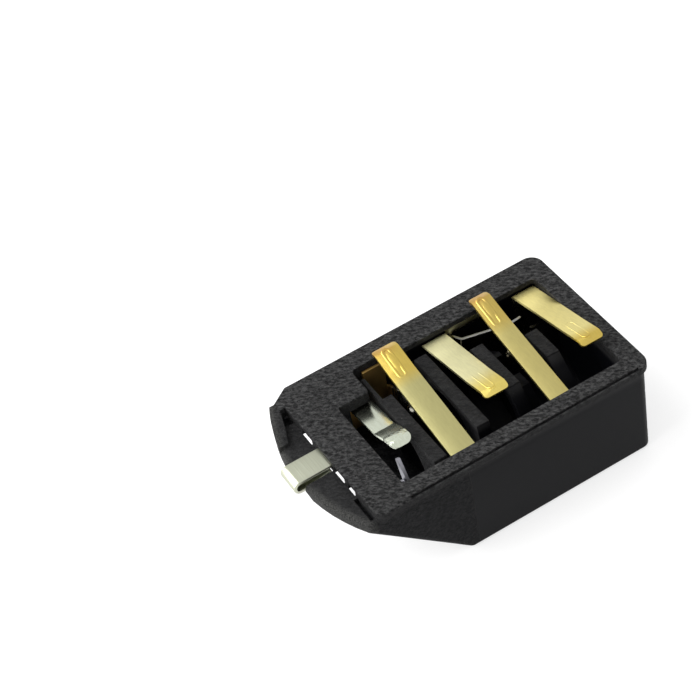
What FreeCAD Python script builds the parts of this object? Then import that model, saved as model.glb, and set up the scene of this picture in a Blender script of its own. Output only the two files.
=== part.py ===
import FreeCAD, Part
import math
import os
import Sketcher

# A 3.5 mm headphone jack socket of the kind that is clamped against a circuit board: one black
# moulding with a slanted mouth, five spring contacts that stand up out of its open side, and a
# ground clip folded round the lip of the mouth.
#
# x runs from the front edge of the rim to its back edge, y across, z up from the closed face.
# "Near" is the -y side and "far" the +y side. The whole part is then centred on the rim's length.

DRIVING = [
    ("rim_length", 11.75, "length of the rim round the open side"),
    ("rim_width", 7.6, "width of the rim"),
    ("rim_depth", 0.3, "depth of the rim band"),
    ("rim_overhang", 0.14, "how far the band stands proud of the body"),
    ("rim_corner", 0.55, "plan radius of the rim's back corners"),
    ("rim_front_corner", 0.3, "plan radius of the rim's front corners"),
    ("rim_edge", 0.07, "rounding of the rim's top edges"),
    ("height", 4.5, "closed face to rim top"),
    ("draft", 0.04, "how much each side leans in from rim to closed face"),
    ("back_draft", 0.02, "how much the back leans in"),
    ("body_corner", 0.35, "radius of the body's upright back corners"),
    ("face_edge", 0.14, "rounding between the closed face and the walls"),
    ("nose_edge", 0.25, "rounding of the nose's slanted edges"),
    ("line_start", 1.4, "front end of the line moulded along the rim's near edge"),
    ("line_inset", 0.07, "edge strip outside that line"),
    ("line_width", 0.08, "width of the line"),
    ("line_depth", 0.14, "depth of the line"),
    ("line_drop", 0.06, "how far the edge strip lies below the rim top"),
    ("crease", 3.5, "closed face's front edge at the sides"),
    ("crease_bulge", 0.8, "how far that edge bows forward in the middle"),
    ("lip_side", 0.28, "how far the lip reaches past the rim at the sides"),
    ("lip_bulge", 1.0, "how far the lip bows forward in the middle"),
    ("lip_under", 3.65, "height where the slanted mouth meets the lip"),
    ("lip_top", 4.12, "height of the lip's outer face"),
    ("lip_step", 1.45, "near end of the lip's raised far border"),
    ("border_low", 4.28, "height of that border at its near end"),
    ("border_far", 3.2, "place where the border has risen to the rim's height"),
    ("cut_back", 0.45, "where the slanted cut at the lip's far corner leaves the rim's side"),
    ("cut_front", 3.3, "where that cut meets the lip's front"),
    ("lip_edge", 0.22, "rounding of the lip's outer front edge"),
    ("pit_floor", 3.9, "floor of the pit behind the border's far end"),
    ("trench_width", 0.18, "width of the trench between lip and rim"),
    ("trench_floor", 3.87, "its floor"),
    ("trench_start", 3.45, "near end of the trench"),
    ("trench_end", 2.25, "its far end"),
    ("slit_front", 0.03, "how far the slits reach in front of the rim"),
    ("slit_back", 0.25, "how far they reach below it"),
    ("slit_top", 4.32, "upper end of the slits under the rim's edge"),
    ("bore_radius", 1.8, "plug bore"),
    ("bore_height", 2.146, "bore axis above the closed face"),
    ("bore_end", 11.2, "blind end of the bore"),
    ("bridge", 1.5, "length of the bridge between mouth and opening"),
    ("back_wall", 0.8, "rim's back edge to the opening"),
    ("near_wall", 0.82, "rim's near edge to the opening"),
    ("far_wall", 0.88, "rim's far edge to the opening"),
    ("ledge_width", 0.27, "how far the rim's far side overhangs the opening"),
    ("ledge_start", 4.55, "front end of that overhang"),
    ("ledge_under", 4.27, "its underside"),
    ("opening_corner", 0.22, "radius of the opening's far corners"),
    ("small_corner", 0.1, "radius of its other corners"),
    ("block_length", 1.35, "length of the far front block that covers one contact"),
    ("block_width", 1.32, "its width from the opening's far edge"),
    ("block_under", 3.98, "underside of that block"),
    ("under_block_start", 1.95, "front end of the space under that block"),
    ("shelf", 1.4, "height of the ledges that hold the plates' lower edges"),
    ("shelf_width", 0.45, "width of the ledges"),
    ("cavity_floor", 0.34, "lowest level of the cavity, just below the bore"),
    ("front_floor", 2.15, "cavity floor behind the bridge"),
    ("front_floor_end", 2.1, "back end of that floor"),
    ("rib_top", 4.2, "top of the ribs that cross the bore"),
    ("rib_shoulder", 3.3, "height where a rib's sides start to slope"),
    ("saddle", 1.95, "half width of a rib beside the bore"),
    ("rib_width", 0.53, "length of each rib along the bore"),
    ("rib_1", 3.02, "front of the first rib"),
    ("rib_2", 5.13, "front of the second rib"),
    ("rib_3", 7.07, "front of the third rib"),
    ("rib_4", 9.1, "front of the fourth rib"),
    ("rib_room", 0.24, "first rib and its thin wall to the plates beside them"),
    ("rib_1_far", 1.2, "far end of its flat top"),
    ("rib_2_side", 2.15, "half width of the second rib's flat top"),
    ("rib_3_side", 1.25, "half width of the third rib's flat top"),
    ("rib_4_near", 0.85, "near end of the fourth rib's flat top"),
    ("rib_4_far", 0.6, "its far end"),
    ("screen", 0.15, "thickness of the wall that carries on from the first rib"),
    ("ridge_width", 0.42, "lower strip behind the third rib"),
    ("ridge_top", 3.85, "its height"),
    ("step_depth", 0.13, "lower step on the cavity's back wall"),
    ("upper_step", 0.07, "upper step on that wall"),
    ("step_top", 3.7, "top of the lower step"),
    ("upper_step_top", 4.0, "top of the upper step"),
    ("step_end", 0.9, "near side of the middle where the steps end"),
    ("way_near", 2.25, "near side of the mouth's relief under the lip"),
    ("way_far", 3.3, "its far side"),
    ("window_start", 0.95, "front of the window beside the bore"),
    ("window_low", 2.15, "its lower edge"),
    ("window_high", 4.0, "its upper edge"),
    ("window_near", 2.3, "its near side"),
    ("metal", 0.12, "thickness of the contact strip"),
    ("slot_gap", 0.02, "play round a plate in its slot"),
    ("plate_foot", 0.9, "lower edge of the contact plates"),
    ("plate_top", 3.7, "upper edge of the contact plates"),
    ("arm_width", 1.02, "width of a spring arm"),
    ("arm_root", 3.93, "height of the bend at the arm's root"),
    ("root_radius", 0.2, "bend at the root, on the strip's middle"),
    ("kink_radius", 0.8, "bend before the tip, on the strip's middle"),
    ("crest_radius", 0.15, "bend at the crest of the tip"),
    ("tip_length", 1.3, "last stretch of an arm"),
    ("tip_turn", 0.3, "end of the tip, turned down"),
    ("tip_drop", 0.1, "how far that end drops"),
    ("tip_corner", 0.14, "plan rounding of the tip"),
    ("bead_length", 1.3, "length of the bead pressed up in the tip"),
    ("bead_width", 0.42, "its width"),
    ("bead_rise", 0.055, "its height"),
    ("sleeve_x", 4.21, "middle of the sleeve contact's arm"),
    ("ring_2_x", 2.495, "middle of the second ring contact's arm"),
    ("ring_1_x", 8.42, "middle of the first ring contact's arm"),
    ("plug_tip_x", 6.385, "middle of the tip contact's arm"),
    ("ring_1_width", 0.81, "width of that arm"),
    ("detect_x", 10.45, "middle of the detect contact's arm"),
    ("near_reach", 2.68, "how far a near arm's tip passes the middle"),
    ("far_reach", 1.75, "how far a far arm's tip passes the middle"),
    ("detect_reach", 2.0, "the same for the detect contact"),
    ("arm_lift", 0.21, "rise of an arm for each millimetre"),
    ("detect_lift", 0.25, "the same for the detect contact"),
    ("tip_lift", 0.28, "rise of the tip for each millimetre"),
    ("leaf_metal", 0.1, "thickness of the leaves that meet the plug"),
    ("leaf_low", 1.55, "lower edge of the leaves"),
    ("leaf_high", 3.74, "upper edge of the tip contact's leaf"),
    ("sleeve_leaf_high", 3.3, "upper edge of the sleeve contact's leaf"),
    ("short_leaf_high", 2.95, "upper edge of the ring contacts' leaves"),
    ("sleeve_leaf_low", 2.2, "lower edge of the sleeve contact's leaf"),
    ("leaf_bend", 0.18, "bends in the leaves"),
    ("leaf_face", 1.87, "leaf middle to bore axis, behind a dome"),
    ("plug_room", 1.6, "radius that the contact domes leave for the plug"),
    ("dome_radius", 0.33, "radius of a contact dome"),
    ("dome_lift", 0.45, "height of the sleeve contact's dome above the bore axis"),
    ("strap_low", 3.78, "lower edge of the tip contact's upper strip"),
    ("strap_high", 4.22, "its upper edge"),
    ("detect_width", 0.95, "width of the detect contact's arm"),
    ("detect_leaf", 0.7, "width of its leaf"),
    ("detect_foot", 0.62, "height of the bend under its plate"),
    ("small_arm_width", 0.87, "width of the second ring contact's arm"),
    ("small_foot", 1.6, "lower edge of its plate below the arm"),
    ("small_start", 3.4, "upper edge of its plate below the arm"),
    ("small_root", 3.66, "height of its bend"),
    ("small_fold", 4.03, "height of its fold in the middle"),
    ("small_rise", 4.4, "height where its crest starts"),
    ("small_crest", 4.52, "height of its crest"),
    ("small_tip_corner", 0.3, "plan rounding of its tip"),
    ("small_bend", 0.3, "bends in that arm"),
    ("clip_width", 1.03, "width of the ground clip"),
    ("clip_metal", 0.13, "thickness of the clip"),
    ("clip_shift", 0.035, "middle of the clip, to the far side"),
    ("clip_upper", 4.235, "height of its outer layer's middle"),
    ("clip_fold", 0.44, "outer layer to inner layer at the fold, middle to middle"),
    ("clip_reach", 1.56, "front of the clip past the rim, on the strip's middle"),
    ("clip_tail", 1.15, "how far the clip runs into the bridge"),
    ("clip_gap", 0.12, "gap between the clip and its notch"),
    ("clip_rise", 0.2, "rise of the inner layer to its end"),
    ("clip_knee", 1.1, "place where the inner layer starts to rise, past the rim"),
    ("clip_end", 0.05, "end of the inner layer, past the rim"),
    ("notch_end", 0.02, "back end of that notch, past the rim"),
    ("mark_start", 4.49, "recessed field on the closed face: front end"),
    ("mark_end", 9.98, "its back end"),
    ("mark_near", 0.15, "its near edge past the middle"),
    ("mark_far", 1.01, "its far edge past the middle"),
    ("mark_depth", 0.05, "its depth"),
    ("mark_corner", 0.35, "rounding of its back end"),
]

DERIVED = [
    ("half_rim", "rim_width / 2", "rim, middle to edge"),
    ("half_body", "half_rim - rim_overhang", "body under the band"),
    ("half_face", "half_body - draft", "closed face"),
    ("body_back", "rim_length - rim_overhang", "back of the body under the band"),
    ("face_back", "body_back - back_draft", "back of the closed face"),
    ("band_under", "height - rim_depth", "underside of the band"),
    ("crease_radius", "(half_face ^ 2 + crease_bulge ^ 2) / (2 * crease_bulge)", "plan radius of the crease"),
    ("lip_radius", "(half_body ^ 2 + lip_bulge ^ 2) / (2 * lip_bulge)", "plan radius of the lip"),
    ("opening_near", "half_rim - near_wall", "opening's near edge"),
    ("opening_far", "half_rim - far_wall", "opening's far edge"),
    ("opening_back", "rim_length - back_wall", "opening's back edge"),
    ("ledge_side", "opening_far - ledge_width", "edge of the rim's overhang on the far side"),
    ("block_side", "opening_far - block_width", "side of the far front block"),
    ("block_back", "bridge + block_length", "back of the far front block"),
    ("near_plate", "opening_near - slot_gap - metal / 2", "middle of a near plate"),
    ("far_plate", "opening_far - slot_gap - metal / 2", "middle of a far plate"),
    ("half_metal", "metal / 2", "half the strip"),
    ("rib_1_near", "near_plate - half_metal - rib_room", "near end of the first rib"),
    ("screen_far", "far_plate - half_metal - rib_room", "far end of its thin wall"),
    ("near_turn", "(near_plate + leaf_face) / 2", "first turn of a near leaf towards the bore"),
    ("far_turn", "(far_plate + leaf_face) / 2", "first turn of a far leaf"),
    ("foot_bend", "min(leaf_bend; (far_plate - leaf_face) / 5.4)", "bends at the detect contact's foot"),
    ("half_leaf_metal", "leaf_metal / 2", "half the leaf's thickness"),
    ("half_arm", "arm_width / 2", "half an arm"),
    ("half_small_arm", "small_arm_width / 2", "half the small arm"),
    ("half_ring_1", "ring_1_width / 2", "half the first ring contact's arm"),
    ("half_detect", "detect_width / 2", "half the detect contact's arm"),
    ("half_detect_leaf", "detect_leaf / 2", "half the detect contact's leaf"),
    ("half_clip", "clip_width / 2", "half the clip"),
    ("half_clip_metal", "clip_metal / 2", "half the clip's metal"),
    ("clip_lower", "clip_upper - clip_fold", "height of the clip's inner layer, middle"),
    ("clip_radius", "clip_fold / 2 - 0.005", "bend at the clip's front"),
    ("dome_base", "leaf_face + leaf_metal / 2", "back of a dome to the bore axis"),
    ("dome_rise", "dome_base - plug_room", "how far a dome stands out from there"),
    ("bead_out", "metal / 2 + bead_rise", "bead's height from the strip's middle"),
    ("bead_along", "bead_length / 2", "half the bead's length"),
    ("bead_across", "bead_width / 2", "half the bead's width"),
]

SHEET_NAME = "sizes"
doc = FreeCAD.newDocument("headphone_jack_socket")
sheet = doc.addObject("Spreadsheet::Sheet", SHEET_NAME)


def arm_heights(name, plate, lift):
    """Where an arm bends, crests and ends, worked out from its reach and its slopes."""
    return [
        (f"{name}_kink", f"{name}_reach - tip_length", "bend before the tip, past the middle"),
        (f"{name}_kink_height", f"arm_root + {lift} * ({plate} + {name}_kink)", "its height"),
        (f"{name}_crest", f"{name}_reach - tip_turn", "crest of the tip, past the middle"),
        (f"{name}_crest_height", f"{name}_kink_height + tip_lift * (tip_length - tip_turn)", "its height"),
        (f"{name}_end_height", f"{name}_crest_height - tip_drop", "height of the arm's end"),
        (f"{name}_bead", f"({name}_kink + {name}_crest) / 2", "middle of the bead, past the middle"),
        (f"{name}_bead_height", f"({name}_kink_height + {name}_crest_height) / 2", "its height"),
    ]


def fill_sheet():
    """Write the driving sizes as plain numbers and the sizes worked out from them as formulas."""
    worked_out = (
        DERIVED
        + arm_heights("near", "near_plate", "arm_lift")
        + arm_heights("far", "far_plate", "arm_lift")
        + arm_heights("detect", "far_plate", "detect_lift")
    )
    for row, (alias, size, note) in enumerate(DRIVING, start=1):
        sheet.set(f"A{row}", alias)
        sheet.set(f"B{row}", str(size))
        sheet.setAlias(f"B{row}", alias)
        sheet.set(f"C{row}", note)
    for row, (alias, size, note) in enumerate(worked_out, start=len(DRIVING) + 2):
        sheet.set(f"A{row}", alias)
        sheet.set(f"B{row}", "=" + size)
        sheet.setAlias(f"B{row}", alias)
        sheet.set(f"C{row}", note)
    doc.recompute()


def is_number(word):
    return word.replace(".", "", 1).isdigit()


def number(text):
    """The value of a sum of sizes, such as "rib_1 + rib_width"."""
    total = 0.0
    sign = 1
    for word in text.split():
        if word in ("+", "-"):
            sign = 1 if word == "+" else -1
            continue
        if word.startswith("-"):
            sign = -sign
            word = word[1:]
        total += sign * (float(word) if is_number(word) else float(sheet.get(word)))
        sign = 1
    return total


def formula(text):
    """The same sum as an expression on the sheet's cells."""
    words = []
    for word in text.split():
        minus = "-" if word.startswith("-") and word != "-" else ""
        name = word[len(minus):]
        plain = name in ("+", "-") or is_number(name)
        words.append(minus + (name if plain else f"{SHEET_NAME}.{name}"))
    return " ".join(words)


def difference(upper, lower):
    """One sum less another."""
    words = [upper]
    sign = "-"
    for word in lower.split():
        if word in ("+", "-"):
            sign = "-" if word == "+" else "+"
            continue
        if word.startswith("-"):
            sign = "+" if sign == "-" else "-"
            word = word[1:]
        words += [sign, word]
        sign = "-"
    return " ".join(words)


def new_body(label, middle="0", turned=False):
    """A body whose own x = 0 lies at the given place; turned faces it the other way about z."""
    body = doc.addObject("PartDesign::Body", label)
    body.Label = label
    if turned:
        turn = FreeCAD.Rotation(FreeCAD.Vector(0, 0, 1), 180)
        body.Placement = FreeCAD.Placement(FreeCAD.Vector(), turn)
    body.setExpression("Placement.Base.x", f"{formula(middle)} - {SHEET_NAME}.rim_length / 2")
    return body


def origin_plane(body, role):
    for feature in body.Origin.OriginFeatures:
        if feature.Role == role:
            return feature
    raise RuntimeError(f"no {role} in {body.Label}")


def new_sketch(body, name, role, offset="0"):
    """A sketch on one of the body's own planes, shifted along that plane's normal."""
    sketch = body.newObject("Sketcher::SketchObject", name)
    sketch.AttachmentSupport = (origin_plane(body, role), [""])
    sketch.MapMode = "FlatFace"
    if offset != "0":
        sketch.setExpression("AttachmentOffset.Base.z", formula(offset))
    return sketch


def place(sketch, geometry, end, across, up):
    """Fix one end of a line, an arc or a point at a place given by two sums of sizes."""
    if across == "0":
        sketch.addConstraint(Sketcher.Constraint("PointOnObject", geometry, end, -2))
    else:
        index = sketch.addConstraint(
            Sketcher.Constraint("DistanceX", -1, 1, geometry, end, number(across))
        )
        sketch.setExpression(f"Constraints[{index}]", formula(across))
    if up == "0":
        sketch.addConstraint(Sketcher.Constraint("PointOnObject", geometry, end, -1))
    else:
        index = sketch.addConstraint(
            Sketcher.Constraint("DistanceY", -1, 1, geometry, end, number(up))
        )
        sketch.setExpression(f"Constraints[{index}]", formula(up))


def point_of(corner):
    return FreeCAD.Vector(number(corner[0]), number(corner[1]), 0)


def draw_polygon(sketch, corners):
    """A closed outline with straight sides."""
    points = [point_of(corner) for corner in corners]
    count = len(points)
    for index, point in enumerate(points):
        sketch.addGeometry(Part.LineSegment(point, points[(index + 1) % count]), False)
    for index in range(count):
        following = (index + 1) % count
        sketch.addConstraint(Sketcher.Constraint("Coincident", index, 2, following, 1))
    for index, (across, up) in enumerate(corners):
        place(sketch, index, 1, across, up)


def rectangle(low, high):
    """Corners of a rectangle between two opposite corners."""
    return [low, (high[0], low[1]), high, (low[0], high[1])]


def draw_bent_path(sketch, corners, radii):
    """An open path of straight runs with a round bend at each inner corner."""
    points = [point_of(corner) for corner in corners]
    bends = []
    start = points[0]
    lines = []
    for index, radius in enumerate(radii, start=1):
        corner = points[index]
        back = (points[index - 1] - corner).normalize()
        ahead = (points[index + 1] - corner).normalize()
        half_angle = back.getAngle(ahead) / 2
        size = number(radius)
        reach = size / math.tan(half_angle)
        leaves = corner + back * reach
        joins = corner + ahead * reach
        centre = corner + (back + ahead).normalize() * (size / math.sin(half_angle))
        lines.append((start, leaves))
        bends.append((centre, size, leaves, joins, back.cross(ahead).z < 0))
        start = joins
    lines.append((start, points[-1]))
    for first, last in lines:
        sketch.addGeometry(Part.LineSegment(first, last), False)
    for centre, size, leaves, joins, turns_left in bends:
        circle = Part.Circle(centre, FreeCAD.Vector(0, 0, 1), size)
        first, last = (leaves, joins) if turns_left else (joins, leaves)
        angles = [math.atan2(p.y - centre.y, p.x - centre.x) for p in (first, last)]
        if angles[1] < angles[0]:
            angles[1] += 2 * math.pi
        sketch.addGeometry(Part.ArcOfCircle(circle, *angles), False)
    for index, bend in enumerate(bends):
        arc = len(lines) + index
        first, last = (1, 2) if bend[4] else (2, 1)
        sketch.addConstraint(Sketcher.Constraint("Tangent", index, 2, arc, first))
        sketch.addConstraint(Sketcher.Constraint("Tangent", index + 1, 1, arc, last))
        radius = sketch.addConstraint(Sketcher.Constraint("Radius", arc, bend[1]))
        sketch.setExpression(f"Constraints[{radius}]", formula(radii[index]))
        mark = sketch.addGeometry(Part.Point(points[index + 1]), True)
        sketch.addConstraint(Sketcher.Constraint("PointOnObject", mark, 1, index))
        sketch.addConstraint(Sketcher.Constraint("PointOnObject", mark, 1, index + 1))
        place(sketch, mark, 1, *corners[index + 1])
    place(sketch, 0, 1, *corners[0])
    place(sketch, len(lines) - 1, 2, *corners[-1])


def pad(body, name, sketch, length, backwards=False):
    feature = body.newObject("PartDesign::Pad", name)
    feature.Profile = sketch
    feature.Reversed = backwards
    feature.setExpression("Length", formula(length))
    sketch.Visibility = False
    return feature


def pocket(body, name, sketch, length, backwards=False):
    """Cut along the sketch's normal and check that something was removed."""
    doc.recompute()
    before = body.Shape.Volume
    feature = body.newObject("PartDesign::Pocket", name)
    feature.Profile = sketch
    feature.Reversed = backwards
    feature.setExpression("Length", formula(length))
    sketch.Visibility = False
    doc.recompute()
    if before - body.Shape.Volume < 1e-6:
        raise RuntimeError(f"{name} cuts nothing")
    return feature


def pad_polygon(body, name, role, offset, corners, length, backwards=False):
    sketch = new_sketch(body, name + "_outline", role, offset)
    draw_polygon(sketch, corners)
    return pad(body, name, sketch, length, backwards)


def cut_polygon(body, name, role, offset, corners, length, backwards=False):
    sketch = new_sketch(body, name + "_outline", role, offset)
    draw_polygon(sketch, corners)
    return pocket(body, name, sketch, length, backwards)


def cut_box(body, name, low, high):
    """A cut with square sides between two opposite corners, each a triple of sums."""
    corners = rectangle(low[:2], high[:2])
    return cut_polygon(body, name, "XY_Plane", high[2], corners, difference(high[2], low[2]))


def ends(edge):
    return [vertex.Point for vertex in edge.Vertexes]


def is_upright(edge):
    """True for an edge that runs mostly along z."""
    if len(edge.Vertexes) != 2:
        return False
    first, last = ends(edge)
    across = math.hypot(last.x - first.x, last.y - first.y)
    return abs(last.z - first.z) > 3 * across


def lies_at_height(edge, level):
    return all(abs(p.z - level) < 1e-4 for p in ends(edge))


def stands_at(edge, corners):
    """True for an upright edge at one of the given plan corners."""
    return is_upright(edge) and any(
        all(abs(p.x - x) < 1e-3 and abs(p.y - y) < 1e-3 for p in ends(edge)) for x, y in corners
    )


def round_edges(body, name, radius, chosen):
    """Round the edges of the body so far for which the test holds."""
    doc.recompute()
    base = body.Tip
    names = [f"Edge{i}" for i, edge in enumerate(base.Shape.Edges, start=1) if chosen(edge)]
    if not names:
        raise RuntimeError(f"{name} finds no edge")
    feature = body.newObject("PartDesign::Fillet", name)
    feature.Base = (base, names)
    feature.setExpression("Radius", formula(radius))
    doc.recompute()
    return feature


def sweep(body, name, section, path):
    feature = body.newObject("PartDesign::AdditivePipe", name)
    feature.Profile = section
    feature.Spine = (path, [""])
    section.Visibility = False
    path.Visibility = False
    doc.recompute()
    return feature


def half_ellipsoid(body, name, role, radii, position, tilt=0.0):
    """Half of an ellipsoid on the side of the plane's normal.

    radii are its sizes along the normal, across and along; position is in the plane's own axes.
    """
    feature = body.newObject("PartDesign::AdditiveEllipsoid", name)
    feature.AttachmentSupport = (origin_plane(body, role), [""])
    feature.MapMode = "FlatFace"
    feature.Angle1 = 0
    for index, radius in enumerate(radii, start=1):
        feature.setExpression(f"Radius{index}", formula(radius))
    turn = FreeCAD.Rotation(FreeCAD.Vector(1, 0, 0), tilt)
    feature.AttachmentOffset = FreeCAD.Placement(FreeCAD.Vector(), turn)
    for axis, place_along in zip("xyz", position):
        feature.setExpression(f"AttachmentOffset.Base.{axis}", formula(place_along))
    doc.recompute()
    return feature


def draw_nose_outline(sketch, side, bulge, radius, half_width, back):
    """Plan outline with a bowed front edge; side is where the bow meets the straight sides."""
    corners = [(side, f"-{half_width}"), (back, f"-{half_width}"), (back, half_width), (side, half_width)]
    points = [point_of(corner) for corner in corners]
    for index in range(3):
        sketch.addGeometry(Part.LineSegment(points[index], points[index + 1]), False)
    for index in range(2):
        sketch.addConstraint(Sketcher.Constraint("Coincident", index, 2, index + 1, 1))
    for index in range(3):
        place(sketch, index, 1, *corners[index])
    place(sketch, 2, 2, *corners[3])
    size = number(radius)
    centre = FreeCAD.Vector(number(side) - number(bulge) + size, 0, 0)
    half_angle = math.asin(number(half_width) / size)
    arc = Part.ArcOfCircle(
        Part.Circle(centre, FreeCAD.Vector(0, 0, 1), size), math.pi - half_angle, math.pi + half_angle
    )
    sketch.addGeometry(arc, False)
    sketch.addConstraint(Sketcher.Constraint("Coincident", 2, 2, 3, 1))
    sketch.addConstraint(Sketcher.Constraint("Coincident", 3, 2, 0, 1))
    index = sketch.addConstraint(Sketcher.Constraint("Radius", 3, size))
    sketch.setExpression(f"Constraints[{index}]", formula(radius))


def make_shell(body):
    """The outside: a drafted block whose front is cut back to a bowed slanting face, and its rim."""
    face = new_sketch(body, "closed_face", "XY_Plane")
    draw_nose_outline(face, "crease", "crease_bulge", "crease_radius", "half_face", "face_back")
    lip = new_sketch(body, "lip_level", "XY_Plane", "lip_under")
    draw_nose_outline(lip, "-lip_side", "lip_bulge", "lip_radius", "half_body", "body_back")
    block = body.newObject("PartDesign::AdditiveLoft", "block")
    block.Profile = lip
    block.Sections = [face]
    block.Ruled = True
    face.Visibility = False
    doc.recompute()
    pad(body, "lip", lip, difference("height", "lip_under"))
    middle = number("rim_length") / 2
    round_edges(
        body, "body_corners", "body_corner",
        lambda edge: is_upright(edge) and ends(edge)[0].x > middle,
    )
    round_edges(
        body, "nose_corners", "nose_edge",
        lambda edge: len(edge.Vertexes) == 2 and abs(ends(edge)[0].z - ends(edge)[1].z) > 0.1
        and min(p.x for p in ends(edge)) < 0,
    )
    round_edges(body, "face_edges", "face_edge", lambda edge: lies_at_height(edge, 0))
    cut_polygon(body, "lip_face", "YZ_Plane", "0", [
        ("-half_rim", "lip_top"), ("lip_step", "lip_top"), ("lip_step", "border_low"),
        ("border_far", "height"), ("border_far", "height + 1"), ("-half_rim", "height + 1"),
    ], "lip_side + lip_bulge + 1")
    round_edges(
        body, "lip_front_edge", "lip_edge",
        lambda edge: lies_at_height(edge, number("lip_top")) and edge.CenterOfMass.x < -number("lip_side")
        and abs(ends(edge)[0].y - ends(edge)[1].y) > 1,
    )
    rim_outline = rectangle(("0", "-half_rim"), ("rim_length", "half_rim"))
    pad_polygon(body, "rim", "XY_Plane", "band_under", rim_outline, "rim_depth")
    half, length = number("half_rim"), number("rim_length")
    round_edges(
        body, "rim_back_corners", "rim_corner",
        lambda edge: stands_at(edge, [(length, -half), (length, half)]),
    )
    round_edges(
        body, "rim_front_corner", "rim_front_corner", lambda edge: stands_at(edge, [(0, -half)]),
    )
    cut_polygon(body, "far_corner_cut", "XY_Plane", "height + 0.1", [
        ("cut_back", "half_rim"), ("-lip_side", "cut_front"), ("-lip_side - lip_bulge", "cut_front"),
        ("-lip_side - lip_bulge", "half_rim + 1"), ("cut_back", "half_rim + 1"),
    ], "height + 0.1 - front_floor")
    round_edges(body, "rim_top_edges", "rim_edge", lambda edge: lies_at_height(edge, number("height")))
    near = [
        ("-half_rim - 0.1", "height - line_drop"), ("-half_rim + line_inset", "height - line_drop"),
        ("-half_rim + line_inset", "height - line_depth"),
        ("-half_rim + line_inset + line_width", "height - line_depth"),
        ("-half_rim + line_inset + line_width", "height + 0.1"), ("-half_rim - 0.1", "height + 0.1"),
    ]
    line_length = "rim_length - rim_corner - line_start"
    cut_polygon(body, "near_line", "YZ_Plane", "rim_length - rim_corner", near, line_length)


def make_cavity(body):
    """The opening in the rim and the stepped cavity below it."""
    opening = [
        ("bridge", "-opening_near"), ("opening_back", "-opening_near"), ("opening_back", "opening_far"),
        ("block_back", "opening_far"), ("block_back", "block_side"), ("bridge", "block_side"),
    ]
    cut_polygon(body, "opening", "XY_Plane", "height", opening, difference("height", "front_floor"))
    ledge = rectangle(("ledge_start", "ledge_side"), ("opening_back + 0.1", "opening_far + 0.1"))
    pad_polygon(body, "far_ledge", "XY_Plane", "ledge_under", ledge, difference("height", "ledge_under"))
    far = [("opening_back", "opening_far"), ("opening_back", "ledge_side"), ("block_back", "opening_far")]
    near = [
        ("bridge", "-opening_near"), ("opening_back", "-opening_near"), ("block_back", "block_side"),
        ("bridge", "block_side"),
    ]
    for name, radius, places in (
        ("opening_far_corners", "opening_corner", far), ("opening_near_corners", "small_corner", near)
    ):
        corners = [(point.x, point.y) for point in map(point_of, places)]
        round_edges(body, name, radius, lambda edge: stands_at(edge, corners))
    cut_box(
        body, "under_block",
        ("under_block_start", "block_side - 0.1", "small_foot - slot_gap"),
        ("block_back + opening_corner", "opening_far", "block_under"),
    )
    cut_box(
        body, "cavity",
        ("front_floor_end", "-opening_near", "shelf"), ("opening_back", "opening_far", "front_floor + 0.1"),
    )
    cut_box(
        body, "well",
        ("rib_1", "-opening_near + shelf_width", "cavity_floor"),
        ("opening_back", "opening_far - shelf_width", "shelf"),
    )
    cut_box(
        body, "detect_pocket",
        ("detect_x - half_detect - 0.06", "bore_radius", "cavity_floor"),
        ("opening_back", "opening_far", "shelf"),
    )
    cut_box(
        body, "detect_corner",
        ("opening_back - 0.4", "opening_far - 0.4", "cavity_floor"),
        ("opening_back", "opening_far", "rib_top"),
    )


def rib(body, name, start, width, profile):
    """A wall across the cavity, given by its outline seen along the bore."""
    pad_polygon(body, name, "YZ_Plane", start, profile, width)


def make_ribs(body):
    """The walls that cross the cavity over the bore, and the steps on its back wall."""
    foot = "cavity_floor - 0.1"
    rib(body, "rib_one", "rib_1", "rib_width", [
        ("-rib_1_near", foot), ("-rib_1_near", "rib_top"), ("rib_1_far", "rib_top"),
        ("saddle", "rib_shoulder"), ("saddle", foot),
    ])
    rib(body, "screen_wall", "rib_1", "screen", rectangle(("rib_1_far - 0.1", foot), ("screen_far", "rib_top")))
    rib(body, "rib_two", "rib_2", "rib_width", [
        ("-opening_near - 0.1", foot), ("-opening_near - 0.1", "rib_shoulder"),
        ("-rib_2_side - 0.15", "rib_shoulder"), ("-rib_2_side", "rib_top"), ("rib_2_side", "rib_top"),
        ("rib_2_side + 0.15", "rib_shoulder"), ("opening_far + 0.1", "rib_shoulder"),
        ("opening_far + 0.1", foot),
    ])
    rib(body, "rib_three", "rib_3", "rib_width", [
        ("-saddle", foot), ("-saddle", "rib_shoulder"), ("-rib_3_side", "rib_top"), ("rib_3_side", "rib_top"),
        ("saddle", "rib_shoulder"), ("saddle", foot),
    ])
    rib(body, "ridge", "rib_3 + rib_width", "ridge_width", [
        ("-saddle", foot), ("-saddle", "rib_shoulder - 0.3"), ("-rib_3_side", "ridge_top"),
        ("rib_3_side - 0.45", "ridge_top"), ("saddle", "rib_shoulder - 0.3"), ("saddle", foot),
    ])
    rib(body, "rib_four", "rib_4", "rib_width", [
        ("-saddle", foot), ("-saddle", "rib_shoulder - 0.1"), ("-rib_4_near", "rib_top"), ("rib_4_far", "rib_top"),
        ("rib_4_far", foot),
    ])
    steps = [
        ("opening_back - step_depth", "shelf - 0.1"), ("opening_back - step_depth", "step_top"),
        ("opening_back - upper_step", "step_top"), ("opening_back - upper_step", "upper_step_top"),
        ("opening_back + 0.1", "upper_step_top"), ("opening_back + 0.1", "shelf - 0.1"),
    ]
    pad_polygon(body, "back_steps", "XZ_Plane", "step_end", steps, difference("opening_near", "step_end"), True)


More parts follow.
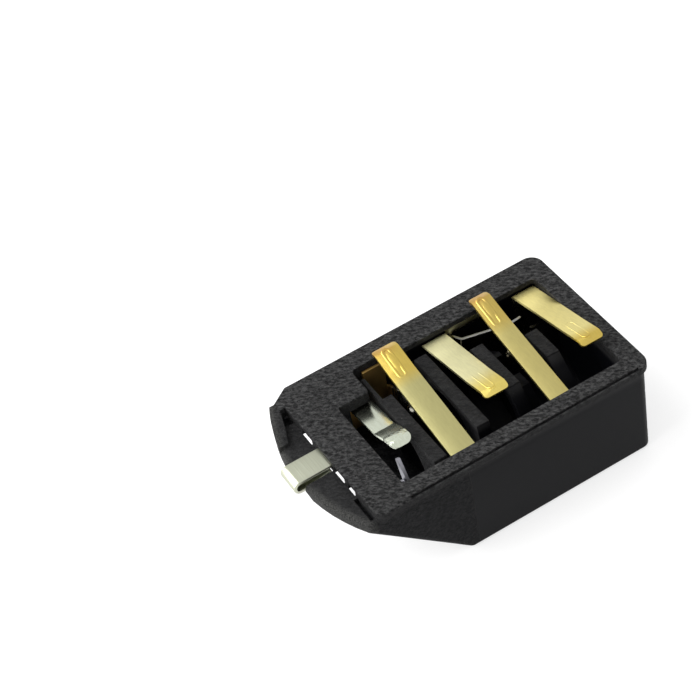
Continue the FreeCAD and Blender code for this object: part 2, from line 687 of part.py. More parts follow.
def make_bore(body):
    bore = new_sketch(body, "bore_circle", "YZ_Plane", "bore_end")
    centre = FreeCAD.Vector(0, number("bore_height"), 0)
    circle = Part.Circle(centre, FreeCAD.Vector(0, 0, 1), number("bore_radius"))
    bore.addGeometry(circle, False)
    place(bore, 0, 3, "0", "bore_height")
    index = bore.addConstraint(Sketcher.Constraint("Radius", 0, number("bore_radius")))
    bore.setExpression(f"Constraints[{index}]", formula("bore_radius"))
    pocket(body, "bore", bore, "bore_end + lip_side + lip_bulge + 1")


def cut_slot(body, name, first, last, wall, inward):
    """A slot in a ledge for the lower edge of a plate, from first to last along the bore."""
    inner = f"{wall} {inward} metal {inward} slot_gap {inward} slot_gap"
    sides = sorted((wall, inner), key=number)
    cut_box(
        body, name,
        (f"{first} - slot_gap", sides[0], "plate_foot - slot_gap"),
        (f"{last} + slot_gap", sides[1], "shelf"),
    )


def make_housing():
    body = new_body("housing")
    make_shell(body)
    make_cavity(body)
    make_ribs(body)
    make_bore(body)
    cut_box(
        body, "sleeve_window",
        ("window_start", "-window_near", "window_low"), ("bridge + 0.1", "-bore_radius + 0.3", "window_high"),
    )
    cut_slot(body, "ring_2_slot", "ring_2_x + 0.6", "ring_2_x + 1.65", "opening_far", "-")
    cut_slot(body, "sleeve_slot", "sleeve_x - 1.2", "sleeve_x + half_arm", "-opening_near", "+")
    cut_slot(body, "tip_slot", "plug_tip_x - half_arm", "plug_tip_x + 0.75", "opening_far", "-")
    cut_slot(body, "ring_1_slot", "ring_1_x - 0.85", "ring_1_x + half_arm", "-opening_near", "+")
    notch_low, notch_high = "clip_shift - half_clip - clip_gap", "clip_shift + half_clip + clip_gap"
    cut_box(
        body, "clip_notch",
        ("-lip_side - lip_bulge - 0.2", notch_low, "bore_height"), ("-notch_end", notch_high, "height"),
    )
    cut_box(
        body, "clip_slot",
        ("-notch_end - 0.1", "clip_shift - half_clip - slot_gap", "clip_upper - half_clip_metal - slot_gap"),
        ("clip_tail + slot_gap", "clip_shift + half_clip + slot_gap", "clip_upper + half_clip_metal + slot_gap"),
    )
    border = [
        ("0", "2.9"), ("-0.23", "2.9"), ("-0.5", "2.05"), ("-0.78", "lip_step - 0.1"), ("0", "lip_step - 0.1"),
    ]
    cut_polygon(body, "border_side", "XY_Plane", "height + 0.1", border, "height + 0.1 - lip_top")
    pit = [("0", "2.9"), ("-0.23", "2.9"), ("-0.38", "2.4"), ("0", "2.3")]
    cut_polygon(body, "pit", "XY_Plane", "height + 0.1", pit, "height + 0.1 - pit_floor")
    cut_box(
        body, "trench", ("-trench_width", "-trench_start", "trench_floor"), ("0", "-trench_end", "height"),
    )
    way = [("-0.15", "4.0"), ("slit_back", "4.0"), ("1.25", "1.5"), ("0.75", "1.5"), ("-0.15", "3.3")]
    cut_polygon(body, "mouth_way", "XZ_Plane", "way_near", way, "way_near + way_far")
    slits = (("far_slit", "0.98", "1.73"), ("near_slit", "-1.35", "-0.62"), ("end_slit", "-2.1", "-1.58"))
    for name, low, high in slits:
        cut_box(body, name, ("-slit_front", low, "3.7"), ("slit_back", high, "slit_top"))
    cut_box(
        body, "mark_field",
        ("mark_start", "-mark_near", "-0.1"), ("mark_end", "mark_far", "mark_depth"),
    )
    end = number("mark_end")
    round_edges(
        body, "mark_corners", "mark_corner",
        lambda edge: stands_at(edge, [(end, -number("mark_near")), (end, number("mark_far"))]),
    )
    return body


def add_plate(body, wall, outline):
    """The upright plate against a side wall."""
    pad_polygon(body, "plate", "XZ_Plane", f"-{wall} - half_metal", outline, "metal")


def add_arm(body, wall, start, half_width, corners, radii, corner="tip_corner"):
    """The strip that rises from the plate and crosses the opening."""
    section = new_sketch(body, "arm_section", "XY_Plane", start)
    draw_polygon(section, rectangle(
        (f"-{half_width}", f"{wall} - half_metal"), (half_width, f"{wall} + half_metal")
    ))
    path = new_sketch(body, "arm_path", "YZ_Plane")
    draw_bent_path(path, [(wall, start)] + corners, radii)
    sweep(body, "arm", section, path)
    end = number(corners[-1][0])
    round_edges(
        body, "tip_corners", corner,
        lambda edge: abs(edge.Length - number("metal")) < 1e-3 and all(p.y < end + 0.07 for p in ends(edge)),
    )


def add_leaf(body, wall, low, high, corners, bend="leaf_bend"):
    """The strip that leaves the plate sideways and bears on the plug."""
    section = new_sketch(body, "leaf_section", "YZ_Plane", corners[0][0])
    draw_polygon(section, rectangle(
        (f"{wall} - half_leaf_metal", low), (f"{wall} + half_leaf_metal", high)
    ))
    path = new_sketch(body, "leaf_path", "XY_Plane", low)
    draw_bent_path(path, corners, [bend] * (len(corners) - 2))
    sweep(body, "leaf", section, path)


def add_dome(body, along, height):
    half_ellipsoid(
        body, "dome", "XZ_Plane", ("dome_rise", "dome_radius", "dome_radius"), (along, height, "-dome_base")
    )


def make_contact(label, middle, side, reach, half_width, plate):
    """A contact with a long arm: its plate, the arm and the bead in the arm's tip."""
    wall = f"{side}_plate"
    body = new_body(label, middle, turned=side == "near")
    add_plate(body, wall, plate)
    corners = [
        (wall, "arm_root"),
        (f"-{reach}_kink", f"{reach}_kink_height"),
        (f"-{reach}_crest", f"{reach}_crest_height"),
        (f"-{reach}_reach", f"{reach}_end_height"),
    ]
    add_arm(body, wall, "plate_top", half_width, corners, ["root_radius", "kink_radius", "crest_radius"])
    tilt = -math.degrees(math.atan(number("tip_lift")))
    half_ellipsoid(
        body, "bead", "XY_Plane", ("bead_out", "bead_across", "bead_along"),
        ("0", f"-{reach}_bead", f"{reach}_bead_height"), tilt,
    )
    return body


def make_sleeve_contact():
    plate = [
        ("-half_arm", "plate_foot"), ("1.2", "plate_foot"), ("1.2", "leaf_low"), ("2.05", "leaf_low"),
        ("2.05", "plate_top - 0.1"),
        ("half_arm", "plate_top - 0.1"), ("half_arm", "plate_top"), ("-half_arm", "plate_top"),
    ]
    body = make_contact("sleeve_contact", "sleeve_x", "near", "near", "half_arm", plate)
    add_leaf(body, "near_plate", "sleeve_leaf_low", "sleeve_leaf_high", [
        ("1.7", "near_plate"), ("2.13", "near_plate"), ("2.13", "leaf_face"), ("3.18", "leaf_face"),
    ])
    add_dome(body, "2.82", "bore_height + dome_lift")
    lug = [("1.85", "3.1"), ("1.52", "4.12"), ("1.7", "4.25"), ("2.4", "3.1")]
    pad_polygon(body, "lug", "YZ_Plane", "2.13 - half_metal", lug, "metal")
    return body


def make_ring_1_contact():
    plate = rectangle(("-half_ring_1", "plate_foot"), ("0.85", "plate_top"))
    body = make_contact("ring_1_contact", "ring_1_x", "near", "near", "half_ring_1", plate)
    add_leaf(body, "near_plate", "leaf_low", "short_leaf_high", [
        ("0.5", "near_plate"), ("0.9", "near_plate"), ("1.15", "near_turn"), ("2.2", "leaf_face"),
        ("2.62", "leaf_face + half_leaf_metal"),
    ])
    add_dome(body, "2.2", "bore_height")
    return body


def make_tip_contact():
    plate = [
        ("-half_arm", "plate_foot"), ("0.75", "plate_foot"), ("0.75", "strap_low"), ("2.5", "strap_low"),
        ("2.5", "strap_high"), ("half_arm + 0.05", "strap_high"), ("half_arm + 0.05", "plate_top"),
        ("-half_arm", "plate_top"),
    ]
    body = make_contact("tip_contact", "plug_tip_x", "far", "far", "half_arm", plate)
    add_leaf(body, "far_plate", "leaf_low", "leaf_high", [
        ("0.3", "far_plate"), ("0.7", "far_plate"), ("0.95", "far_turn"), ("2.75", "leaf_face"),
        ("3.35", "leaf_face + half_leaf_metal"),
    ])
    add_dome(body, "2.75", "bore_height")
    return body


def make_detect_contact():
    plate = rectangle(("-half_detect", "plate_foot"), ("half_detect", "plate_top"))
    body = make_contact("detect_contact", "detect_x", "far", "detect", "half_detect", plate)
    section = new_sketch(body, "leaf_section", "XY_Plane", "plate_foot")
    draw_polygon(section, rectangle(
        ("-half_detect_leaf", "far_plate - half_leaf_metal"), ("half_detect_leaf", "far_plate + half_leaf_metal")
    ))
    path = new_sketch(body, "leaf_path", "YZ_Plane")
    draw_bent_path(path, [
        ("far_plate", "plate_foot"), ("far_plate", "detect_foot"), ("far_turn", "detect_foot"),
        ("leaf_face", "bore_height"), ("leaf_face + half_leaf_metal", "2.9"),
    ], ["foot_bend", "foot_bend", "leaf_bend"])
    sweep(body, "leaf", section, path)
    add_dome(body, "0", "bore_height")
    return body


def make_ring_2_contact():
    body = new_body("ring_2_contact", "ring_2_x")
    add_plate(body, "far_plate", [
        ("-half_small_arm", "small_foot"), ("0.6", "small_foot"), ("0.6", "plate_foot"),
        ("1.65", "plate_foot"), ("1.65", "rib_top"), ("0.75", "rib_top"),
        ("0.75", "small_start"), ("-half_small_arm", "small_start"),
    ])
    corners = [
        ("far_plate", "small_root"), ("0", "small_fold"), ("-0.72", "small_rise"), ("-1.15", "small_crest"),
        ("-1.42", "small_crest - 0.12"),
    ]
    add_arm(
        body, "far_plate", "small_start", "half_small_arm", corners,
        ["root_radius", "small_bend", "small_bend", "crest_radius"], "small_tip_corner",
    )
    add_leaf(body, "far_plate", "leaf_low", "short_leaf_high", [
        ("1.3", "far_plate"), ("1.7", "far_plate"), ("1.85", "far_turn"), ("2.2", "leaf_face"),
        ("2.5", "leaf_face + half_leaf_metal"),
    ])
    add_dome(body, "2.2", "bore_height")
    return body


def make_ground_clip():
    body = new_body("ground_clip")
    section = new_sketch(body, "clip_section", "YZ_Plane", "clip_tail")
    draw_polygon(section, rectangle(
        ("clip_shift - half_clip", "clip_upper - half_clip_metal"),
        ("clip_shift + half_clip", "clip_upper + half_clip_metal"),
    ))
    path = new_sketch(body, "clip_path", "XZ_Plane", "-clip_shift")
    draw_bent_path(path, [
        ("clip_tail", "clip_upper"), ("-clip_reach", "clip_upper"), ("-clip_reach", "clip_lower"),
        ("-clip_knee", "clip_lower"), ("-clip_end", "clip_lower + clip_rise"),
    ], ["clip_radius", "clip_radius", "clip_fold"])
    sweep(body, "clip", section, path)
    return body


fill_sheet()
bodies = [
    make_housing(),
    make_ground_clip(),
    make_sleeve_contact(),
    make_ring_2_contact(),
    make_ring_1_contact(),
    make_tip_contact(),
    make_detect_contact(),
]
doc.recompute()

for item in doc.Objects:
    if "Invalid" in item.State or "Error" in item.State:
        raise RuntimeError(f"{item.Label} did not compute: {item.State}")

os.makedirs("parts", exist_ok=True)
for body in bodies:
    if body.Shape.isNull() or not body.Shape.isValid():
        raise RuntimeError(f"{body.Label} has no valid shape")
    if len(body.Shape.Solids) != 1:
        raise RuntimeError(f"{body.Label} is {len(body.Shape.Solids)} solids")
    body.Shape.exportStep(f"parts/{body.Label}.step")
    print(body.Label, round(body.Shape.Volume, 3), body.Shape.BoundBox)
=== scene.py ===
import math

import bmesh
import bpy
from mathutils import Matrix, Vector


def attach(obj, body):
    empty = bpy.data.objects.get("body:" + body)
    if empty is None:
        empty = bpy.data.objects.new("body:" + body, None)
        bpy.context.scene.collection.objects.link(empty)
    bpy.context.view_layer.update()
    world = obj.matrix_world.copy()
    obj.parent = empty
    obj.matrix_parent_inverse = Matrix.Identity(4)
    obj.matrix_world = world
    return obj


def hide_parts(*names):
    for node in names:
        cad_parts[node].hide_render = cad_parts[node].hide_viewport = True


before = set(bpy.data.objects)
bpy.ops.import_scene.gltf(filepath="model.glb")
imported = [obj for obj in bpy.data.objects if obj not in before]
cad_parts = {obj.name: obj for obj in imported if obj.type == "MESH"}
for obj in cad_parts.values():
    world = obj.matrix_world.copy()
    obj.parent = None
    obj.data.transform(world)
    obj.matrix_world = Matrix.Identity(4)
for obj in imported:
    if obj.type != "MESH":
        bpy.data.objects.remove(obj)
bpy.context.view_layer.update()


def colour(red, green, blue):
    return (red, green, blue, 1.0)


MM = 0.001

# Lengths are millimetres in the frame of the part, whose z = 0 is the closed face.
RIM_FRONT = -5.875
LIP_REACH = 1.28
LIP_RADIUS = 7.198
LIP_CENTRE = RIM_FRONT - LIP_REACH + LIP_RADIUS

# Steps in the finish of the moulding, some of them steps of painted light: where each one is and how
# soft it is.
NOSE_END = (RIM_FRONT + 3.8, 0.05)
BAND_START = (4.18, 0.02)
# UPPER_START and TOP_START are where painted light makes the moulding lighter, first on the upper faces
# and then on the top; TOP_START is also where the full grain starts.
UPPER_START = (3.95, 0.3)
TOP_START = (4.42, 0.15)
# Where the specks of painted highlight lie on the lip's outer front edge.
HIGHLIGHT_SPECK_REACH = (LIP_RADIUS - 0.2, 0.3)
HIGHLIGHT_SPECK_START = (3.6, 0.2)
HIGHLIGHT_SPECK_END = (RIM_FRONT, 0.05)
CRESTS = (0.53, 0.3)
DUST_SPECKS = (0.78, 0.06)
HIGHLIGHT_SPECKS = (0.5, 0.35)

# The moulding's grain. A noise has a scale in bumps to the millimetre.
WRINKLES = {
    "scale": 7.5, "detail": 6.0, "roughness": 0.78, "stretch": (0.65, 1.25, 1.1), "distortion": 0.25,
    "turn": 0.607,
}
PORES = {"scale": 21.0, "detail": 3.0, "roughness": 0.6}
DUST = {"scale": 13.0, "detail": 1.0, "roughness": 0.5}
SOFTER_GRAIN = 0.6
SATIN_PORES = 0.03
GRAIN_PORES = 0.2
GRAIN_DEPTH = 0.2
DUST_STRENGTH = 0.4
HIGHLIGHT_SPECK_STRENGTH = 0.8
SATIN_ROUGHNESS = 0.42
GRAIN_ROUGHNESS = 0.18
PLASTIC_SPECULAR = 0.08
# Colours of the moulding by height, with painted light: the walls are painted in shade, the upper faces
# lighter and the top lightest, as if lit from above.
SHADED_WALL_HOLLOWS = colour(0.0016, 0.0017, 0.0026)
SHADED_WALL_CRESTS = colour(0.034, 0.034, 0.035)
LIT_UPPER_HOLLOWS = colour(0.013, 0.013, 0.0135)
LIT_UPPER_CRESTS = colour(0.046, 0.046, 0.0465)
LIT_TOP_HOLLOWS = colour(0.008, 0.008, 0.0085)
LIT_TOP_CRESTS = colour(0.094, 0.094, 0.094)
DUST_GREY = colour(0.16, 0.16, 0.155)
# Colour of the specks of painted highlight on the lip's front edge.
PAINTED_EDGE_HIGHLIGHT = colour(0.075, 0.075, 0.07)

# The sprung strips. NO_TIP lies past every strip, so nothing there is gilded.
NO_TIP = 5.0
# Below SUNK_END the strips take a colour of painted shade, and a lower roughness.
SUNK_END = (3.85, 0.3)
SUNK_ROUGHNESS = 0.16
COPPER_PATCHES = {"scale": 0.9, "detail": 1.0}
COPPER_SPOTS = (0.45, 0.3)
COPPER_START = 1.35
COPPER_BLEND = 0.5
COPPER_STRENGTH = 0.7
CLOUDS = {"scale": 1.4, "detail": 2.0}
CLOUD_ROUGHNESS = 0.1
BRUSHED_LINES = {"scale": 14.0, "detail": 3.0, "roughness": 0.6, "stretch": (1.0, 0.05, 1.0)}
BRUSHED_STEP = (0.5, 0.5)
BRUSHED_SHADE = colour(0.20, 0.17, 0.08)
BRUSHED_STRENGTH = 0.12
BRUSHED_DEPTH = 0.003
WORN_ROUGHNESS = 0.25
BARE_BLEND = 0.05
BARE_LEVEL_BLEND = 0.02
BROWN_BLEND = 0.1
ROOT_START = (3.9, 0.1)
ROOT_BLEND = 1.4
ROOT_MATT = 0.75
DIMPLES = {"scale": 4.5, "detail": 2.0, "roughness": 0.6}
DIMPLES_END = (-0.75, 0.2)
BRASS = colour(0.53, 0.49, 0.22)
WARM_BRASS = colour(0.585, 0.505, 0.19)
CREAM_BRASS = colour(0.86, 0.82, 0.47)
PALE_BRASS = colour(0.86, 0.75, 0.30)
GOLD = colour(0.68, 0.51, 0.115)
WARM_GOLD = colour(0.61, 0.46, 0.12)
CREAM_GOLD = colour(0.84, 0.68, 0.18)
COPPER_EDGE = colour(0.60, 0.33, 0.09)
# Colours of painted shade on the strips deep in the cavity.
SHADED_DULL_STRIP = colour(0.42, 0.41, 0.36)
SHADED_DARK_STRIP = colour(0.10, 0.09, 0.06)
BROWN_PLATE = colour(0.42, 0.27, 0.09)
CLIP_NICKEL = colour(0.51, 0.53, 0.42)
ARM_NICKEL = colour(0.72, 0.77, 0.64)
BARE_LEAF = ((-9.0, -2.9), (-1.0, 9.0), colour(0.44, 0.44, 0.48))
BARE_EDGE = ((1.3, 9.0), (3.70, 3.765), colour(0.58, 0.58, 0.55))

# Meshes made from the nodes of the part: joining distance, bevels, and angles in degrees.
JOIN_DISTANCE = 0.0005
PLASTIC_BEVEL = 0.03
STRIP_BEVEL = 0.02
FLAT_ANGLE = 0.5
BEVEL_ANGLE = 35
SHARP_ANGLE = 38

# Webs that close two chinks in front of the rim: name and two opposite corners.
WEBS = (
    ("trench_end_web", (RIM_FRONT - 0.19, -2.28, 3.6), (RIM_FRONT + 0.02, -2.2, 3.98)),
    ("pit_floor_web", (RIM_FRONT - 0.4, 2.26, 3.82), (RIM_FRONT + 0.02, 2.94, 3.88)),
)

# The ovals in the arms' tips. The tip rises by TIP_LIFT for each millimetre.
TIP_LIFT = 0.28
HALF_METAL = 0.06
BEAD_HALF_WIDTH = 0.3
BEAD_HALF_LENGTH = 0.75
LEAST_RISE = 0.002
OVAL_SHIFT = 0.1
OVAL_ASIDE = 0.055
OVAL_LENGTH = 1.36
OVAL_WIDTH = 0.29
OVAL_END = 0.49
OVAL_FLATNESS = 0.38
# Radius of the ridge, and the share of the bead's rise that is pressed away.
PLAIN_OVAL = (0.065, 0.35)
FAINT_OVAL = (0.034, 0.85)

# The long arms: node, middle of the bead on the strip, side that the tip points to, oval and metal.
ARMS = (
    ("sleeve_contact", (-1.665, 1.88, 4.969), 1, PLAIN_OVAL, {
        "name": "sleeve contact metal", "plain": BRASS, "gilded": GOLD, "tip_start": 0.95,
        "bare": BARE_LEAF,
    }),
    ("ring_1_contact", (2.545, 1.88, 4.969), 1, PLAIN_OVAL, {
        "name": "first ring contact metal", "plain": WARM_BRASS, "gilded": WARM_GOLD, "tip_start": 0.95,
        "cavity_shade": SHADED_DARK_STRIP,
    }),
    ("tip_contact", (0.51, -0.95, 4.761), -1, FAINT_OVAL, {
        "name": "tip contact metal", "plain": CREAM_BRASS, "gilded": CREAM_GOLD, "tip_start": 0.7,
        "tip_blend": 1.3, "bare": BARE_EDGE, "cavity_shade": SHADED_DARK_STRIP, "matt_root": (1.9, 1.05),
    }),
    ("detect_contact", (4.575, -1.2, 4.955), -1, FAINT_OVAL, {
        "name": "detect contact metal", "plain": PALE_BRASS, "gilded": GOLD, "tip_start": 1.35,
        "tip_blend": 0.7, "matt_root": (1.7, 9.0),
    }),
)

# The camera looks at CAMERA_AIM; its angles are degrees and its lens and sensor millimetres.
CAMERA_AIM = (-1.526, 6.21, 2.0)
CAMERA_DISTANCE = 81.9
CAMERA_AZIMUTH = 22.08
CAMERA_ELEVATION = 44.78
CAMERA_ROLL = 12.35
CAMERA_LENS = 107.1
SENSOR_WIDTH = 36.0

# The studio. The floor's size is metres.
STUDIO_LIGHT = 0.85
FLOOR_GREY = colour(0.45, 0.45, 0.45)
FLOOR_GLOW = 0.62
FLOOR_SIZE = 3.0
FLOOR_DROP = 0.01
KEY_PLACE = (-80, 40, 70)
KEY_AIM = (0, 0, 2)
KEY_SIZE = 160
KEY_WATTS = 0.26


class Field:
    """A shader value that maths can be written with."""

    def __init__(self, finish, socket):
        self.finish = finish
        self.socket = socket

    def maths(self, operation, *terms):
        return self.finish.maths(operation, *terms)

    def __add__(self, other):
        return self.maths("ADD", self, other)

    def __radd__(self, other):
        return self.maths("ADD", other, self)

    def __sub__(self, other):
        return self.maths("SUBTRACT", self, other)

    def __rsub__(self, other):
        return self.maths("SUBTRACT", other, self)

    def __mul__(self, other):
        return self.maths("MULTIPLY", self, other)

    def __rmul__(self, other):
        return self.maths("MULTIPLY", other, self)

    def above(self, edge, softness):
        """0 below the edge and 1 above it, with a soft step."""
        made = self.finish.node(
            "ShaderNodeMapRange", {"interpolation_type": "SMOOTHSTEP"},
            self, edge - softness / 2, edge + softness / 2, 0.0, 1.0,
        )
        return Field(self.finish, made.outputs[0])


def fill_socket(tree, socket, value):
    """Link a value to a socket, or set it there."""
    if isinstance(value, Field):
        value = value.socket
    if isinstance(value, bpy.types.NodeSocket):
        tree.links.new(value, socket)
    else:
        socket.default_value = value


def add_node(tree, kind, settings=None, *values, **named):
    """A node with its settings, and what its sockets get by number and by name."""
    made = tree.nodes.new(kind)
    for name, value in (settings or {}).items():
        setattr(made, name, value)
    for number, value in enumerate(values):
        fill_socket(tree, made.inputs[number], value)
    for name, value in named.items():
        fill_socket(tree, made.inputs[name.replace("_", " ")], value)
    return made


class Finish:
    """A material under construction. Its position fields are in millimetres."""

    def __init__(self, name):
        self.material = bpy.data.materials.new(name)
        self.material.use_nodes = True
        self.tree = self.material.node_tree
        self.tree.nodes.clear()
        place = self.node("ShaderNodeTexCoord").outputs["Object"]
        scaled = self.node("ShaderNodeVectorMath", {"operation": "SCALE"}, Vector=place, Scale=1 / MM)
        self.place = scaled.outputs["Vector"]
        apart = self.node("ShaderNodeSeparateXYZ", {}, self.place)
        self.x, self.y, self.z = [Field(self, socket) for socket in apart.outputs]

    def node(self, kind, settings=None, *values, **named):
        return add_node(self.tree, kind, settings, *values, **named)

    def maths(self, operation, *terms):
        return Field(self, self.node("ShaderNodeMath", {"operation": operation}, *terms).outputs[0])

    def mapped(self, place, **change):
        return self.node("ShaderNodeMapping", {}, Vector=place, **change).outputs["Vector"]

    def noise(self, scale, detail=2.0, roughness=0.5, stretch=None, distortion=0.0, turn=0.0):
        """Noise of about scale bumps to the millimetre, turned about z and then stretched."""
        place = self.place
        if turn:
            place = self.mapped(place, Rotation=(0.0, 0.0, turn))
        if stretch:
            place = self.mapped(place, Scale=Vector(stretch))
        made = self.node(
            "ShaderNodeTexNoise", {}, Vector=place, Scale=scale, Detail=detail, Roughness=roughness,
            Distortion=distortion,
        )
        return Field(self, made.outputs["Fac"])

    def mix(self, factor, first, second):
        """A blend of two colours."""
        made = self.node("ShaderNodeMix", {"data_type": "RGBA"})
        for number, value in ((0, factor), (6, first), (7, second)):
            fill_socket(self.tree, made.inputs[number], value)
        return made.outputs[2]

    def bump(self, height, depth):
        """Normals of a height field whose full range is depth, in millimetres."""
        made = self.node("ShaderNodeBump", {}, Strength=1.0, Distance=depth * MM, Height=height)
        return made.outputs["Normal"]

    def surface(self, **values):
        shader = self.node("ShaderNodeBsdfPrincipled", {}, **values)
        self.node("ShaderNodeOutputMaterial", {}, Surface=shader.outputs[0])
        return self.material


def black_plastic():
    """Black moulding: wrinkled grain on the rim and nose, satin behind the parting line, and painted
    light that makes the upper faces and the top lighter than the walls.
    """
    finish = Finish("black plastic")
    nose = 1 - finish.x.above(*NOSE_END)
    band = finish.z.above(*BAND_START)
    upper = finish.z.above(*UPPER_START)
    top = finish.z.above(*TOP_START)
    wrinkles = finish.noise(**WRINKLES)
    pores = finish.noise(**PORES)
    grain = finish.maths("MAXIMUM", top, band * SOFTER_GRAIN)
    grain = finish.maths("MAXIMUM", grain, nose * SOFTER_GRAIN)
    height = wrinkles * grain + pores * (SATIN_PORES + grain * GRAIN_PORES)

    # Painted light: the base colour steps lighter from the walls to the upper faces, and again to the
    # top.
    dark = finish.mix(upper, SHADED_WALL_HOLLOWS, LIT_UPPER_HOLLOWS)
    dark = finish.mix(top, dark, LIT_TOP_HOLLOWS)
    light = finish.mix(upper, SHADED_WALL_CRESTS, LIT_UPPER_CRESTS)
    light = finish.mix(top, light, LIT_TOP_CRESTS)
    # The wrinkles' crests take the lighter colour and their hollows the darker one: partly the grain's
    # own tone, partly painted shade in the hollows.
    shade = finish.mix(wrinkles.above(*CRESTS) * grain, dark, light)
    dust = finish.noise(**DUST).above(*DUST_SPECKS) * DUST_STRENGTH
    shade = finish.mix(dust * upper, shade, DUST_GREY)

    # Painted highlight: light specks on the lip's outer front edge, where grazing light would catch it.
    along = finish.x - LIP_CENTRE
    reach = finish.maths("POWER", along * along + finish.y * finish.y, 0.5)
    edge = reach.above(*HIGHLIGHT_SPECK_REACH) * finish.z.above(*HIGHLIGHT_SPECK_START)
    edge = edge * (1 - finish.x.above(*HIGHLIGHT_SPECK_END))
    shade = finish.mix(edge * pores.above(*HIGHLIGHT_SPECKS) * HIGHLIGHT_SPECK_STRENGTH, shade, PAINTED_EDGE_HIGHLIGHT)
    return finish.surface(
        Base_Color=shade, Roughness=SATIN_ROUGHNESS + grain * GRAIN_ROUGHNESS,
        Specular_IOR_Level=PLASTIC_SPECULAR, Normal=finish.bump(height, GRAIN_DEPTH),
    )


def strip_metal(
    name, plain, gilded, side=1, tip_start=NO_TIP, tip_blend=0.8, satin=0.3, brushed=1.0,
    cavity_shade=SHADED_DULL_STRIP, bare=None, tarnish=None, matt_root=None, dimpled=0.0,
):
    """Sprung strip whose tip points to +y where side is 1 and to -y where it is -1.

    tip_start: where the gilding starts along the arm, with tip_blend as its softness
    cavity_shade: painted shade, a darker colour deep in the cavity
    bare: a stretch along x and one along z that show other metal, and the colour of that metal
    tarnish: where the strip turns brown along y
    matt_root: where the strip turns matt along y, and where that ends along x
    dimpled: depth of the dimples in the tip of the short arm, against that of the brushing
    """
    finish = Finish(name)
    along = finish.y * side
    tip = along.above(tip_start, tip_blend)
    copper = along.above(tip_start + COPPER_START, COPPER_BLEND)
    copper = copper * finish.noise(**COPPER_PATCHES).above(*COPPER_SPOTS)
    deep = 1 - finish.z.above(*SUNK_END)
    lines = finish.noise(**BRUSHED_LINES)
    shade = finish.mix(tip, plain, gilded)
    shade = finish.mix(copper * COPPER_STRENGTH, shade, COPPER_EDGE)
    # Painted shade: deep in the cavity the strip turns to a darker colour.
    shade = finish.mix(deep, shade, cavity_shade)
    shade = finish.mix(lines.above(*BRUSHED_STEP) * BRUSHED_STRENGTH, shade, BRUSHED_SHADE)
    roughness = satin + finish.noise(**CLOUDS) * CLOUD_ROUGHNESS - deep * (satin - SUNK_ROUGHNESS)
    metallic = 1.0
    relief = lines
    if bare:
        (start, stop), (low, high), metal = bare
        patch = finish.x.above(start, BARE_BLEND) * (1 - finish.x.above(stop, BARE_BLEND))
        patch = patch * finish.z.above(low, BARE_LEVEL_BLEND)
        patch = patch * (1 - finish.z.above(high, BARE_LEVEL_BLEND))
        shade = finish.mix(patch, shade, metal)
        roughness = roughness + patch * WORN_ROUGHNESS
    if tarnish:
        brown = finish.y.above(tarnish, BROWN_BLEND)
        shade = finish.mix(brown, shade, BROWN_PLATE)
        roughness = roughness + brown * WORN_ROUGHNESS
    if matt_root:
        start, stop = matt_root
        matt = finish.y.above(start, ROOT_BLEND) * finish.z.above(*ROOT_START)
        metallic = 1 - matt * (1 - finish.x.above(stop, BARE_BLEND)) * ROOT_MATT
    if dimpled:
        short_tip = 1 - finish.y.above(*DIMPLES_END)
        relief = lines + short_tip * finish.noise(**DIMPLES) * dimpled
    return finish.surface(
        Base_Color=shade, Metallic=metallic, Roughness=roughness,
        Normal=finish.bump(relief, BRUSHED_DEPTH * brushed),
    )


def add_object(name, mesh):
    piece = bpy.data.objects.new(name, mesh)
    bpy.context.collection.objects.link(piece)
    return piece


def apply_modifiers(piece):
    """Turn the piece and its modifiers into a plain mesh."""
    depsgraph = bpy.context.evaluated_depsgraph_get()
    mesh = bpy.data.meshes.new_from_object(piece.evaluated_get(depsgraph), depsgraph=depsgraph)
    piece.modifiers.clear()
    piece.data = mesh


def smooth_copy(node, bevel):
    """The node's mesh with joined corners, softened edges and smooth normals."""
    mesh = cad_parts[node].data.copy()
    mesh.name = f"{node}_surface"
    sculpt = bmesh.new()
    sculpt.from_mesh(mesh)
    bmesh.ops.remove_doubles(sculpt, verts=sculpt.verts, dist=JOIN_DISTANCE * MM)
    bmesh.ops.dissolve_limit(
        sculpt, angle_limit=math.radians(FLAT_ANGLE), verts=sculpt.verts, edges=sculpt.edges,
        delimit={"NORMAL"},
    )
    sculpt.to_mesh(mesh)
    sculpt.free()
    mesh.shade_smooth()
    piece = add_object(f"{node}_surface", mesh)
    softened = piece.modifiers.new("edges", "BEVEL")
    softened.width = bevel * MM
    softened.segments = 2
    softened.limit_method = "ANGLE"
    softened.angle_limit = math.radians(BEVEL_ANGLE)
    softened.harden_normals = False
    apply_modifiers(piece)
    piece.data.set_sharp_from_angle(angle=math.radians(SHARP_ANGLE))
    return piece


def dress(node, bevel, material):
    """Replace a node of the part by its smooth copy in a finish."""
    piece = smooth_copy(node, bevel)
    piece.data.materials.clear()
    piece.data.materials.append(material)
    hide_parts(node)
    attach(piece, "root")
    return piece


def make_web(name, low, high, material):
    """A thin web of the moulding between two opposite corners."""
    sculpt = bmesh.new()
    bmesh.ops.create_cube(sculpt, size=1.0)
    for vertex in sculpt.verts:
        for axis in range(3):
            vertex.co[axis] = (high[axis] if vertex.co[axis] > 0 else low[axis]) * MM
    mesh = bpy.data.meshes.new(name)
    sculpt.to_mesh(mesh)
    sculpt.free()
    mesh.materials.append(material)
    piece = add_object(name, mesh)
    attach(piece, "root")


